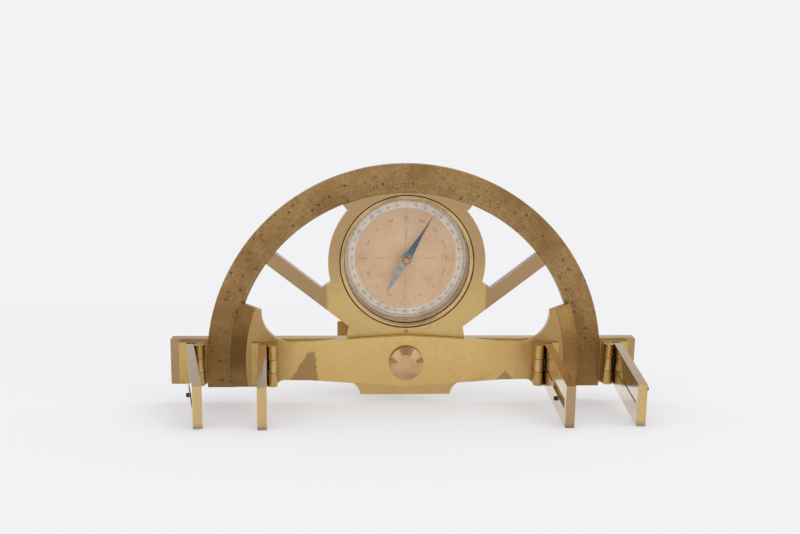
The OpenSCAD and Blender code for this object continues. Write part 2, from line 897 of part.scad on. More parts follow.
// Puts a sight's fixed pieces on the bar or the alidade, on one side
module at_hinge(x, y, left = false) {
    stand() mirror([left ? 1 : 0, 0, 0]) translate([x, y, 0]) children();
}

// Puts a sight's moving pieces there, leaning inwards
module at_lean(x, y, angle, left = false) {
    at_hinge(x, y, left) rotate([0, 0, -angle]) children();
}

module base_outer_left() { color(brass) at_hinge(outer_x, outer_y, true) sight_base(outer_base_t); }
module base_inner_left() { color(brass) at_hinge(inner_hinge, inner_y, true) sight_base(inner_base_t); }
module base_inner_right() { color(brass) at_hinge(inner_hinge, inner_y) sight_base(inner_base_t); }
module base_outer_right() { color(brass) at_hinge(outer_x, outer_y) sight_base(outer_base_t); }

module sight_outer_left() {
    color(brass) at_lean(outer_x, outer_y, lean_outer_left, true)
        sight_plate(window_w, slit_w, 1, peg_at_outer_left);
}
module sight_inner_left() {
    color(brass) at_lean(inner_hinge, inner_y, lean_inner_left, true)
        sight_plate(slit_w, window_w, -1, peg_at_inner_left);
}
module sight_inner_right() {
    color(brass) at_lean(inner_hinge, inner_y, lean_inner_right)
        sight_plate(window_w, slit_w, -1, peg_at_inner_right);
}
module sight_outer_right() {
    color(brass) at_lean(outer_x, outer_y, lean_outer_right)
        sight_plate(slit_w, window_w, 1, peg_at_outer_right);
}

module pin_outer_left() { color(steel) at_hinge(outer_x, outer_y, true) hinge_pin(); }
module pin_inner_left() { color(steel) at_hinge(inner_hinge, inner_y, true) hinge_pin(); }
module pin_inner_right() { color(steel) at_hinge(inner_hinge, inner_y) hinge_pin(); }
module pin_outer_right() { color(steel) at_hinge(outer_x, outer_y) hinge_pin(); }

module peg_outer_left() {
    color("dimgray") at_lean(outer_x, outer_y, lean_outer_left, true)
        sight_peg(1, peg_at_outer_left);
}
module peg_inner_left() {
    color("dimgray") at_lean(inner_hinge, inner_y, lean_inner_left, true)
        sight_peg(-1, peg_at_inner_left);
}
module peg_inner_right() {
    color("dimgray") at_lean(inner_hinge, inner_y, lean_inner_right)
        sight_peg(-1, peg_at_inner_right);
}
module peg_outer_right() {
    color("dimgray") at_lean(outer_x, outer_y, lean_outer_right)
        sight_peg(1, peg_at_outer_right);
}

module hair_outer_left() {
    color(steel) at_lean(outer_x, outer_y, lean_outer_left, true) hair_rod(window_w, hair_r);
}
module hair_inner_left() {
    color(steel) at_lean(inner_hinge, inner_y, lean_inner_left, true) hair_rod(slit_w, hair_r);
}
module hair_inner_right() {
    color(steel) at_lean(inner_hinge, inner_y, lean_inner_right) hair_rod(window_w, hair_r);
}
module hair_outer_right() {
    color(steel) at_lean(outer_x, outer_y, lean_outer_right) hair_rod(slit_w, hair_r);
}

graduated_limb();
cross_frame();
limb_screws();
compass_box();
box_nut();
dial_plate();
degree_ring();
needle_pivot();
needle();
needle_cap();
compass_glass();
compass_bezel();
alidade_bar();
vernier_left();
vernier_right();
pivot_screw();
pivot_washer();
knee_flange();
flange_screws();
steady_pin();
ball_stem();
socket_tube();
clamp_shell();
clamp_screw();
staff_screw();
base_outer_left();
base_inner_left();
base_inner_right();
base_outer_right();
sight_outer_left();
sight_inner_left();
sight_inner_right();
sight_outer_right();
pin_outer_left();
pin_inner_left();
pin_inner_right();
pin_outer_right();
peg_outer_left();
peg_inner_left();
peg_inner_right();
peg_outer_right();
hair_outer_left();
hair_inner_left();
hair_inner_right();
hair_outer_right();
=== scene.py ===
"""Looks of the brass graphometer: its finishes, engraved scales, compass card and stage."""

import json
import math

import bmesh
import bpy
from mathutils import Matrix, Vector


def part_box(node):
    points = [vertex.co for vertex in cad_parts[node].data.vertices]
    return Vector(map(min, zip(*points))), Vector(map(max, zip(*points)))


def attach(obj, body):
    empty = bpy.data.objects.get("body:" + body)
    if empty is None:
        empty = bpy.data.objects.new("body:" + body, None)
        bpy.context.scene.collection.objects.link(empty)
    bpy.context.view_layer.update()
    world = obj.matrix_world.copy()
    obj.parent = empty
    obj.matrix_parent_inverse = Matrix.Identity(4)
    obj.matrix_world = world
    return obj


bl_info = {
    "name": "Brass graphometer",
    "version": (1, 0, 0),
    "blender": (4, 5, 0),
    "location": "3D View > Sidebar > Graphometer",
    "description": "Finishes and engraves a brass half-circle graphometer on its packed frame",
    "category": "Object",
}

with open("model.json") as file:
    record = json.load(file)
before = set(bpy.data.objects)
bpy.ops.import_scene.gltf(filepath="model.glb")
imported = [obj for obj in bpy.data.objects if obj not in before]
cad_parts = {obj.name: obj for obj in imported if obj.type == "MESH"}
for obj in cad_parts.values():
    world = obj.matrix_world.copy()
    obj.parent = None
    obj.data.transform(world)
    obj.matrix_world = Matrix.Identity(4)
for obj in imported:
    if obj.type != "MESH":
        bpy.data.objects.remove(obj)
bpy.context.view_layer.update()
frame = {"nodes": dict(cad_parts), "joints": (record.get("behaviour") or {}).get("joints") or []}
MM = 0.001
FRONT = Vector((0, -1, 0))
# How deep the engraved lines are sunk into the face that they lie on
SINK = 0.004 * MM
# Depth of the verniers' faces behind the limb's, negative because they stand in front of it
VERNIER_FACE = -3.3 * MM
# Places of a Mix node's colour sockets, among those that it keeps for other kinds of data
MIX_AMOUNT = 0
MIX_FIRST = 6
MIX_SECOND = 7
MIX_RESULT = 2


def joint(name):
    """The record's joint of that name."""
    for entry in frame["joints"]:
        if entry["name"] == name:
            return entry
    raise RuntimeError(f"the frame has no joint named {name}")


def instrument_matrix():
    """Takes the instrument's own axes, x along the bar and z up the limb, into the row frame."""
    turn = joint("alidade_turn")
    right = Vector((1, 0, 0))
    back = -Vector(turn["axis"])
    place = Matrix((right, back, right.cross(back))).transposed().to_4x4()
    place.translation = Vector(turn["pos_m"])
    return place


def thumb_screw_matrix():
    """Takes the thumb screw's own axes, with z along its shank, into the row frame."""
    turn = joint("thumb_screw_turn")
    up = Vector(turn["axis"])
    right = Vector((1, 0, 0))
    place = Matrix((right, up.cross(right), up)).transposed().to_4x4()
    place.translation = Vector(turn["pos_m"])
    return place


PLACE = instrument_matrix()
COMPASS = PLACE.inverted() @ Vector(joint("needle_spin")["pos_m"])
LIMB_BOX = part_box("graduated_limb")
LIMB_RADIUS = (LIMB_BOX[1].x - LIMB_BOX[0].x) / 2


class GraphometerSizes(bpy.types.PropertyGroup):
    """Sizes of the engraved work, in metres."""

    limb_scale: bpy.props.FloatProperty(
        name="Limb scale radius",
        description="Radius of the arc where the limb's degrees begin",
        default=LIMB_RADIUS - 11 * MM,
        unit="LENGTH",
    )
    line_width: bpy.props.FloatProperty(
        name="Line width",
        description="Width of an engraved line",
        default=0.14 * MM,
        unit="LENGTH",
    )
    line_height: bpy.props.FloatProperty(
        name="Line height",
        description="How far the blackened lines stand proud",
        default=0.02 * MM,
        unit="LENGTH",
    )
    figure_size: bpy.props.FloatProperty(
        name="Figure size",
        description="Height of the figures on the limb",
        default=2.6 * MM,
        unit="LENGTH",
    )
    ring_inner: bpy.props.FloatProperty(
        name="Degree ring inner radius",
        description="Inner radius of the silvered compass ring",
        default=24.4 * MM,
        unit="LENGTH",
    )
    ring_outer: bpy.props.FloatProperty(
        name="Degree ring outer radius",
        description="Outer radius of the silvered compass ring",
        default=29.5 * MM,
        unit="LENGTH",
    )
    dial_front: bpy.props.FloatProperty(
        name="Dial depth",
        description="Depth of the dial plate's face behind the limb's face",
        default=11.3 * MM,
        unit="LENGTH",
    )
    ring_front: bpy.props.FloatProperty(
        name="Ring depth",
        description="Depth of the degree ring's face behind the limb's face",
        default=10.3 * MM,
        unit="LENGTH",
    )


class GraphometerColours(bpy.types.PropertyGroup):
    """Colours of the metals and of the stage."""

    gold: bpy.props.FloatVectorProperty(
        name="Lacquered brass",
        description="Colour of the clean lacquered brass",
        default=(0.62, 0.42, 0.15),
        subtype="COLOR",
        min=0,
        max=1,
    )
    brown: bpy.props.FloatVectorProperty(
        name="Tarnished brass",
        description="Colour of the limb, whose lacquer is gone",
        default=(0.38, 0.235, 0.1),
        subtype="COLOR",
        min=0,
        max=1,
    )
    dial: bpy.props.FloatVectorProperty(
        name="Dial",
        description="Colour of the compass card's copper wash",
        default=(0.79, 0.54, 0.33),
        subtype="COLOR",
        min=0,
        max=1,
    )
    silver: bpy.props.FloatVectorProperty(
        name="Silvered ring",
        description="Colour of the silvered degree ring",
        default=(0.88, 0.79, 0.68),
        subtype="COLOR",
        min=0,
        max=1,
    )
    backdrop: bpy.props.FloatVectorProperty(
        name="Backdrop",
        description="Colour of the pale room round the instrument",
        default=(0.888, 0.888, 0.91),
        subtype="COLOR",
        min=0,
        max=1,
    )


# Node helpers

class Tree:
    """A short way to lay out one material's nodes."""

    def __init__(self, name):
        self.material = bpy.data.materials.new(name)
        self.material.use_nodes = True
        self.nodes = self.material.node_tree.nodes
        self.links = self.material.node_tree.links
        self.shader = self.nodes["Principled BSDF"]
        self.output = self.nodes["Material Output"]
        self.place = self.add("ShaderNodeTexCoord").outputs["Object"]

    def add(self, kind, **settings):
        """Adds a node and sets its plain settings."""
        node = self.nodes.new(kind)
        for key, value in settings.items():
            setattr(node, key, value)
        return node

    def put(self, node, socket, value):
        """Links a socket to an output, or sets it to a value."""
        target = node.inputs[socket]
        if isinstance(value, bpy.types.NodeSocket):
            self.links.new(value, target)
        else:
            target.default_value = value

    def mapped(self, scale=(1, 1, 1), move=(0, 0, 0), turn=(0, 0, 0)):
        """Object coordinates, stretched, moved and turned."""
        node = self.add("ShaderNodeMapping")
        self.put(node, "Vector", self.place)
        self.put(node, "Scale", scale)
        self.put(node, "Location", move)
        self.put(node, "Rotation", turn)
        return node.outputs["Vector"]

    def in_instrument(self):
        """Coordinates along the bar, into the limb and up the limb, from the pivot."""
        back = PLACE.inverted()
        return self.mapped(move=back.translation, turn=back.to_euler())

    def split(self, vector):
        """The three parts of a vector."""
        node = self.add("ShaderNodeSeparateXYZ")
        self.put(node, "Vector", vector)
        return node.outputs

    def noise(self, scale, detail=4.0, rough=0.55, vector=None, distort=0.0):
        """A noise pattern whose scale is in cycles per metre."""
        node = self.add("ShaderNodeTexNoise")
        self.put(node, "Vector", vector or self.place)
        self.put(node, "Scale", scale)
        self.put(node, "Detail", detail)
        self.put(node, "Roughness", rough)
        self.put(node, "Distortion", distort)
        return node.outputs["Fac"]

    def ramp(self, value, low, high, start=0.0, end=1.0):
        """Maps low to high onto start to end, without overshoot."""
        node = self.add("ShaderNodeMapRange")
        self.put(node, "Value", value)
        self.put(node, "From Min", low)
        self.put(node, "From Max", high)
        self.put(node, "To Min", start)
        self.put(node, "To Max", end)
        return node.outputs["Result"]

    def maths(self, operation, first, second=0.0):
        """One step of arithmetic."""
        node = self.add("ShaderNodeMath", operation=operation)
        self.put(node, 0, first)
        self.put(node, 1, second)
        return node.outputs["Value"]

    def mix(self, amount, first, second):
        """Blends two colours."""
        node = self.add("ShaderNodeMix", data_type="RGBA")
        self.put(node, MIX_AMOUNT, amount)
        self.put(node, MIX_FIRST, first)
        self.put(node, MIX_SECOND, second)
        return node.outputs[MIX_RESULT]

    def bump(self, height, depth, strength=1.0, normal=None):
        """Raises a height pattern by a depth in metres."""
        node = self.add("ShaderNodeBump")
        self.put(node, "Height", height)
        self.put(node, "Distance", depth)
        self.put(node, "Strength", strength)
        if normal is not None:
            self.put(node, "Normal", normal)
        return node.outputs["Normal"]

    def soft_edge(self, radius):
        """Rounds the look of sharp corners by a small radius."""
        node = self.add("ShaderNodeBevel", samples=4)
        self.put(node, "Radius", radius)
        return node.outputs["Normal"]

    def corner_dirt(self, reach):
        """How open a spot is: 0 deep in a corner, 1 in the open."""
        node = self.add("ShaderNodeAmbientOcclusion", samples=6)
        self.put(node, "Distance", reach)
        return node.outputs["AO"]


def colour(value):
    """A colour with full alpha, as a socket takes it."""
    return (value[0], value[1], value[2], 1.0)


def shade(value, factor):
    """A darker or lighter copy of a colour."""
    return colour([min(1.0, part * factor) for part in value])


def pits(tree, scale, size, thin=0.5):
    """Small dark corrosion pits, 1 in a pit and 0 elsewhere."""
    cells = tree.add("ShaderNodeTexVoronoi", feature="F1")
    tree.put(cells, "Vector", tree.place)
    tree.put(cells, "Scale", scale)
    spot = tree.ramp(cells.outputs["Distance"], size, size * 0.45)
    some = tree.ramp(tree.noise(scale * 0.21, 2.0), thin, thin + 0.12)
    return tree.maths("MULTIPLY", spot, some)


def brass(name, clean, stained_and_shaded, stain_from=0.5, stain_to=0.72, rough=0.3, grain=(1, 1, 1),
          pit_size=0.1, extra_stain_and_shade=None, coat=0.0, pit_thin=0.5, mottle=0.06,
          reach=0.7 * MM, deep=0.6):
    """Old brass: clean metal, cloudy stains, pits, fine scratches, and painted shade with tarnish
    in corners.

    The cloud's stains fade in from stain_from to stain_to, extra_stain_and_shade adds stains
    and painted shade by place, grain stretches the brushing, fewer pits pass a larger pit_thin,
    and painted shade with tarnish darkens corners over the length reach by the share deep.
    """
    tree = Tree(name)
    cloud = tree.noise(42.0, 6.0, 0.6, distort=0.4)
    # This mask holds the cloudy stains and the painted shade and shadow that the extra mask
    # brings
    stain_and_shade = tree.ramp(cloud, stain_from, stain_to)
    if extra_stain_and_shade is not None:
        stain_and_shade = tree.maths("MAXIMUM", stain_and_shade, extra_stain_and_shade(tree))
    fine = tree.noise(520.0, 5.0, 0.7)
    tone = tree.mix(tree.ramp(fine, 0.32, 0.68), shade(clean, 1 - mottle),
                    shade(clean, 1 + mottle))
    broad = tree.noise(75.0, 3.0, 0.6)
    tone = tree.mix(tree.ramp(broad, 0.42, 0.7, 0.0, 0.35), tone,
                    (clean[0] * 0.92, clean[1] * 0.86, clean[2] * 0.7, 1))
    tone = tree.mix(stain_and_shade, tone, colour(stained_and_shaded))
    pit = tree.maths("MAXIMUM", pits(tree, 260.0, pit_size, pit_thin),
                     pits(tree, 640.0, pit_size * 1.2, pit_thin + 0.02))
    tone = tree.mix(tree.maths("MULTIPLY", pit, 0.85), tone, shade(stained_and_shaded, 0.25))
    # Painted shade, with some tarnish, darkens the corners that ambient occlusion finds
    open_air = tree.corner_dirt(reach)
    corner_shade_and_tarnish = tree.ramp(open_air, 0.3, 0.85, deep, 0.0)
    tone = tree.mix(corner_shade_and_tarnish, tone, shade(stained_and_shaded, 0.9 - 0.5 * deep))
    tree.put(tree.shader, "Base Color", tone)
    tree.put(tree.shader, "Metallic", 1.0)
    brushed = tree.noise(2600.0, 3.0, 0.7, tree.mapped(scale=grain))
    gloss = tree.maths("ADD", tree.ramp(cloud, 0.3, 0.8, rough - 0.05, rough + 0.12),
                       tree.ramp(brushed, 0.2, 0.8, -0.04, 0.07))
    tree.put(tree.shader, "Roughness", gloss)
    tree.put(tree.shader, "Coat Weight", coat)
    tree.put(tree.shader, "Coat Roughness", 0.14)
    tree.put(tree.shader, "Coat IOR", 1.7)
    height = tree.maths("SUBTRACT", tree.maths("MULTIPLY", brushed, 0.2), pit)
    normal = tree.bump(height, 0.007 * MM, 0.5, tree.soft_edge(0.22 * MM))
    tree.put(tree.shader, "Normal", normal)
    return tree.material


def frame_stain(tree):
    """The frame is browner on its spokes and towards the bar's ends, and has painted shade on its
    upper part round the seat.
    """
    along, _, up = tree.split(tree.in_instrument())
    side = tree.maths("ABSOLUTE", along)
    beyond_seat = tree.ramp(side, 37.5 * MM, 38.5 * MM)
    above_bar = tree.ramp(up, 18 * MM, 22 * MM)
    spokes = tree.maths("MULTIPLY", tree.maths("MULTIPLY", beyond_seat, above_bar), 0.95)
    ends = tree.ramp(side, 86 * MM, 106 * MM, 0.0, 0.85)
    # Painted shade on the upper frame round the seat, where it reflects the darker room overhead
    seat = tree.ramp(up, 30 * MM, 52 * MM, 0.0, 0.75)
    return tree.maths("MAXIMUM", tree.maths("MAXIMUM", spokes, ends), seat)


def patch(tree, along, up, corners, depth):
    """A ragged three-sided brown patch on the alidade, open at its foot."""
    left_foot, left_slope, right_foot, right_slope, top = corners
    foot = -9 * MM
    rise = tree.maths("SUBTRACT", up, foot)
    from_left = tree.maths("SUBTRACT", tree.maths("SUBTRACT", along, left_foot),
                           tree.maths("MULTIPLY", rise, left_slope))
    from_right = tree.maths("SUBTRACT", tree.maths("SUBTRACT", right_foot, along),
                            tree.maths("MULTIPLY", rise, right_slope))
    from_top = tree.maths("SUBTRACT", top, up)
    inside = tree.maths("MINIMUM", tree.maths("MINIMUM", from_left, from_right), from_top)
    ragged = tree.maths("MULTIPLY", tree.maths("SUBTRACT", tree.noise(420.0, 4.0), 0.5), 2.4 * MM)
    return tree.ramp(tree.maths("ADD", inside, ragged), -0.25 * MM, 0.35 * MM, 0.0, depth)


def alidade_stain(tree):
    """Two brown patches low on the alidade, and duller ends."""
    along, _, up = tree.split(tree.in_instrument())
    large = patch(tree, along, up, (-55.8 * MM, 0.63, -42.2 * MM, 0.1, 5.3 * MM), 0.9)
    small = patch(tree, along, up, (43.5 * MM, 0.95, 52.5 * MM, 0.95, -4.2 * MM), 0.75)
    ends = tree.ramp(tree.maths("ABSOLUTE", along), 52 * MM, 64 * MM, 0.0, 0.7)
    return tree.maths("MAXIMUM", tree.maths("MAXIMUM", large, small), ends)


def sight_stain(tree):
    """The tip of the right inner sight is browner than the rest."""
    along, into, _ = tree.split(tree.in_instrument())
    beside = tree.maths("ABSOLUTE", tree.maths("SUBTRACT", along, 66 * MM))
    chosen = tree.ramp(beside, 13 * MM, 11 * MM)
    tip = tree.ramp(into, -67.5 * MM, -68.8 * MM, 0.0, 0.85)
    return tree.maths("MULTIPLY", chosen, tip)


def limb_stain(tree):
    """The limb darkens towards its two feet."""
    _, _, up = tree.split(tree.in_instrument())
    return tree.ramp(up, 34 * MM, 4 * MM, 0.0, 0.55)


def vernier_stain(tree):
    """The verniers carry a painted shadow of the sights, darkest half-way up."""
    _, _, up = tree.split(tree.in_instrument())
    away = tree.maths("ABSOLUTE", tree.maths("SUBTRACT", up, 6 * MM))
    return tree.ramp(away, 12 * MM, 6 * MM, 0.1, 0.75)


def turned_brass(name, clean, stained_and_shaded, centre, ring_scale=260.0, rough=0.2):
    """Brass with the fine rings that a lathe leaves round a centre on the front face, and painted
    shade with some tarnish in its corners.
    """
    tree = Tree(name)
    rings = tree.add("ShaderNodeTexWave", wave_type="RINGS", rings_direction="Y")
    tree.put(rings, "Vector", tree.mapped(move=(-centre.x, -centre.y, -centre.z)))
    tree.put(rings, "Scale", ring_scale)
    tree.put(rings, "Distortion", 0.6)
    cloud = tree.noise(120.0, 5.0)
    tone = tree.mix(tree.ramp(cloud, 0.42, 0.75), colour(clean), colour(stained_and_shaded))
    pit = pits(tree, 480.0, 0.12)
    tone = tree.mix(pit, tone, shade(stained_and_shaded, 0.4))
    # Painted shade, with some tarnish, darkens the corners that ambient occlusion finds
    open_air = tree.corner_dirt(0.6 * MM)
    tone = tree.mix(tree.ramp(open_air, 0.3, 0.9, 0.75, 0.0), tone, shade(stained_and_shaded, 0.3))
    tree.put(tree.shader, "Base Color", tone)
    tree.put(tree.shader, "Metallic", 1.0)
    tree.put(tree.shader, "Roughness", tree.ramp(cloud, 0.3, 0.8, rough, rough + 0.14))
    height = tree.maths("SUBTRACT", tree.maths("MULTIPLY", rings.outputs["Fac"], 0.3), pit)
    tree.put(tree.shader, "Normal", tree.bump(height, 0.012 * MM, 0.5, tree.soft_edge(0.25 * MM)))
    return tree.material


def steel(name, tone, rough):
    """Turned or darkened steel with faint streaks."""
    tree = Tree(name)
    streak = tree.noise(1500.0, 3.0, 0.6, tree.mapped(scale=(1, 0.2, 1)))
    tree.put(tree.shader, "Base Color", tree.mix(streak, shade(tone, 0.75), shade(tone, 1.2)))
    tree.put(tree.shader, "Metallic", 1.0)
    tree.put(tree.shader, "Roughness", tree.ramp(streak, 0.2, 0.8, rough - 0.06, rough + 0.1))
    tree.put(tree.shader, "Normal", tree.bump(streak, 0.01 * MM, 0.4, tree.soft_edge(0.12 * MM)))
    return tree.material


def needle_steel():
    """Blued steel on the north arm, browned towards its tip by a painted reflection of the card,
    and bright steel on the south arm.
    """
    tree = Tree("needle_steel")
    spin = joint("needle_spin")
    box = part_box("needle")
    north = Vector((box[1].x, 0, box[1].z)) - Vector((spin["pos_m"][0], 0, spin["pos_m"][2]))
    north.normalize()
    along = tree.add("ShaderNodeVectorMath", operation="DOT_PRODUCT")
    tree.put(along, 0, tree.mapped(move=[-part for part in spin["pos_m"]]))
    tree.put(along, 1, north)
    where = along.outputs["Value"]
    heat = tree.noise(300.0, 3.0)
    slate = tree.mix(tree.ramp(heat, 0.35, 0.7), (0.035, 0.04, 0.07, 1), (0.11, 0.12, 0.17, 1))
    teal = tree.mix(tree.ramp(heat, 0.35, 0.7), (0.05, 0.11, 0.16, 1), (0.13, 0.23, 0.29, 1))
    north_arm = tree.mix(tree.ramp(where, 4.5 * MM, 7.5 * MM), teal, slate)
    # Painted reflection of the copper card browns the north arm towards its tip
    north_arm = tree.mix(tree.ramp(where, 13 * MM, 18 * MM, 0.0, 0.6), north_arm,
                         (0.14, 0.08, 0.04, 1))
    bright = tree.mix(tree.ramp(heat, 0.35, 0.7), (0.24, 0.24, 0.23, 1), (0.44, 0.42, 0.39, 1))
    tone = tree.mix(tree.ramp(where, -0.5 * MM, 0.5 * MM), bright, north_arm)
    tree.put(tree.shader, "Base Color", tone)
    tree.put(tree.shader, "Metallic", 1.0)
    tree.put(tree.shader, "Roughness", tree.ramp(heat, 0.3, 0.7, 0.18, 0.3))
    return tree.material


def dial_copper(clean):
    """The compass card's matt copper wash, rubbed thin in places."""
    tree = Tree("dial_copper")
    cloud = tree.noise(95.0, 6.0, 0.6, distort=0.6)
    fine = tree.noise(1600.0, 2.0, 0.5, tree.mapped(scale=(1, 1, 0.08)))
    tone = tree.mix(tree.ramp(cloud, 0.4, 0.75), colour(clean), (0.66, 0.41, 0.225, 1))
    tone = tree.mix(tree.ramp(fine, 0.45, 0.8, 0.0, 0.35), tone, (0.9, 0.67, 0.43, 1))
    tree.put(tree.shader, "Base Color", tone)
    tree.put(tree.shader, "Metallic", 0.2)
    tree.put(tree.shader, "Roughness", tree.ramp(fine, 0.2, 0.8, 0.42, 0.6))
    tree.put(tree.shader, "Normal", tree.bump(fine, 0.01 * MM, 0.25))
    return tree.material


def silvering(clean):
    """Worn silvering, yellow where the brass shows through."""
    tree = Tree("silvering")
    cloud = tree.noise(130.0, 6.0, 0.6, distort=0.5)
    tone = tree.mix(tree.ramp(cloud, 0.5, 0.85), colour(clean), (0.55, 0.46, 0.32, 1))
    speck = pits(tree, 620.0, 0.12)
    tone = tree.mix(speck, tone, (0.1, 0.08, 0.05, 1))
    tree.put(tree.shader, "Base Color", tone)
    tree.put(tree.shader, "Metallic", 0.3)
    tree.put(tree.shader, "Roughness", tree.ramp(cloud, 0.3, 0.8, 0.38, 0.55))
    tree.put(tree.shader, "Normal", tree.bump(speck, -0.01 * MM, 0.3))
    return tree.material


def crystal():
    """The compass glass, clear with a trace of dust."""
    tree = Tree("crystal")
    dust = tree.noise(400.0, 4.0)
    tree.put(tree.shader, "Base Color", (0.93, 0.95, 0.95, 1))
    tree.put(tree.shader, "Alpha", tree.ramp(dust, 0.4, 0.8, 0.02, 0.05))
    tree.put(tree.shader, "Roughness", 0.04)
    tree.put(tree.shader, "IOR", 1.5)
    return tree.material


def ink(name, dark, pale):
    """Filled engraving, darker where the filling is whole."""
    tree = Tree(name)
    worn = tree.ramp(tree.noise(520.0, 3.0), 0.4, 0.75)
    tree.put(tree.shader, "Base Color", tree.mix(worn, colour(dark), colour(pale)))
    tree.put(tree.shader, "Roughness", 0.7)
    return tree.material


def hair_fibre():
    """A dark sighting hair with a faint sheen."""
    tree = Tree("hair_fibre")
    tone = tree.mix(tree.noise(900.0, 2.0), (0.03, 0.02, 0.015, 1), (0.09, 0.07, 0.05, 1))
    tree.put(tree.shader, "Base Color", tone)
    tree.put(tree.shader, "Roughness", 0.45)
    return tree.material


# Mesh helpers, in the instrument's own axes

def make_piece(name, bm, place, material, body):
    """Turns a bmesh into a piece in the row frame that rides on a body."""
    mesh = bpy.data.meshes.new(name)
    bmesh.ops.recalc_face_normals(bm, faces=bm.faces)
    bm.to_mesh(mesh)
    bm.free()
    mesh.transform(place)
    mesh.materials.append(material)
    piece = bpy.data.objects.new(name, mesh)
    bpy.context.scene.collection.objects.link(piece)
    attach(piece, body)
    return piece


def bar(bm, centre, size, turn=0.0, pivot=Vector((0, 0, 0))):
    """A thin bar, turned in the instrument's plane from +x towards +z about a pivot."""
    made = bmesh.ops.create_cube(bm, size=1.0)
    verts = made["verts"]
    bmesh.ops.scale(bm, vec=size, verts=verts)
    bmesh.ops.translate(bm, vec=centre, verts=verts)
    spin = Matrix.Rotation(turn, 3, FRONT)
    bmesh.ops.rotate(bm, cent=pivot, matrix=spin, verts=verts)
    return verts


def ticks(bm, centre, inner, outer, width, height, start, step, count):
    """A row of radial lines round a centre, by degrees from +x towards +z."""
    middle = centre + Vector(((inner + outer) / 2, 0, 0))
    verts = bar(bm, middle, (outer - inner, height, width), math.radians(start), centre)
    # Dicts hold each edge and face once and, unlike sets, in the same order at every run
    edges = dict.fromkeys(edge for vert in verts for edge in vert.link_edges)
    faces = dict.fromkeys(face for vert in verts for face in vert.link_faces)
    bmesh.ops.spin(bm, geom=verts + list(edges) + list(faces), cent=centre, axis=FRONT,
                   dvec=(0, 0, 0), angle=math.radians(step) * (count - 1), steps=count - 1,
                   use_duplicate=True, use_merge=False, use_normal_flip=False)


def arc_line(bm, centre, radius, width, height, start, sweep, steps):
    """A thin line bent round a centre, closed to a ring or capped at its two ends."""
    corners = [Vector((radius + across * width / 2, into * height / 2, 0))
               for across, into in ((-1, -1), (1, -1), (1, 1), (-1, 1))]
    closed = sweep >= 360
    rings = []
    for step in range(steps if closed else steps + 1):
        turn = Matrix.Rotation(math.radians(start + sweep * step / steps), 3, FRONT)
        rings.append([bm.verts.new(centre + turn @ corner) for corner in corners])
    for step in range(steps):
        near = rings[step]
        far = rings[(step + 1) % len(rings)]
        for side in range(4):
            after = (side + 1) % 4
            bm.faces.new((near[side], near[after], far[after], far[side]))
    if not closed:
        bm.faces.new(rings[0])
        bm.faces.new(rings[-1])


def text_mesh(words, size, depth):
    """Letters as a thin closed mesh in their own xy plane, centred on their middle."""
    curve = bpy.data.curves.new("letters", type="FONT")
    curve.body = words
    curve.size = size
    curve.extrude = depth / 2
    curve.align_x = "CENTER"
    curve.align_y = "CENTER"
    curve.resolution_u = 2
    holder = bpy.data.objects.new("letters", curve)
    bpy.context.scene.collection.objects.link(holder)
    bpy.context.view_layer.update()
    made = holder.evaluated_get(bpy.context.evaluated_depsgraph_get())
    mesh = bpy.data.meshes.new_from_object(made)
    bpy.data.objects.remove(holder)
    bpy.data.curves.remove(curve)
    return mesh


def letters(bm, words, centre, radius, angle, size, depth):
    """Adds letters at a radius and an angle from +x, with their heads pointing outwards."""
    mesh = text_mesh(words, size, depth)
    upright = Matrix(((1, 0, 0), (0, 0, -1), (0, 1, 0))).to_4x4()
    lift = Matrix.Translation(Vector((0, 0, radius)))
    spin = Matrix.Rotation(math.radians(angle - 90), 4, FRONT)
    mesh.transform(Matrix.Translation(centre) @ spin @ lift @ upright)
    bm.from_mesh(mesh)
    bpy.data.meshes.remove(mesh)


def in_compass(depth):
    """A point on the compass's axis at a depth behind the limb's face."""
    return Vector((COMPASS.x, depth, COMPASS.z))


# Operators

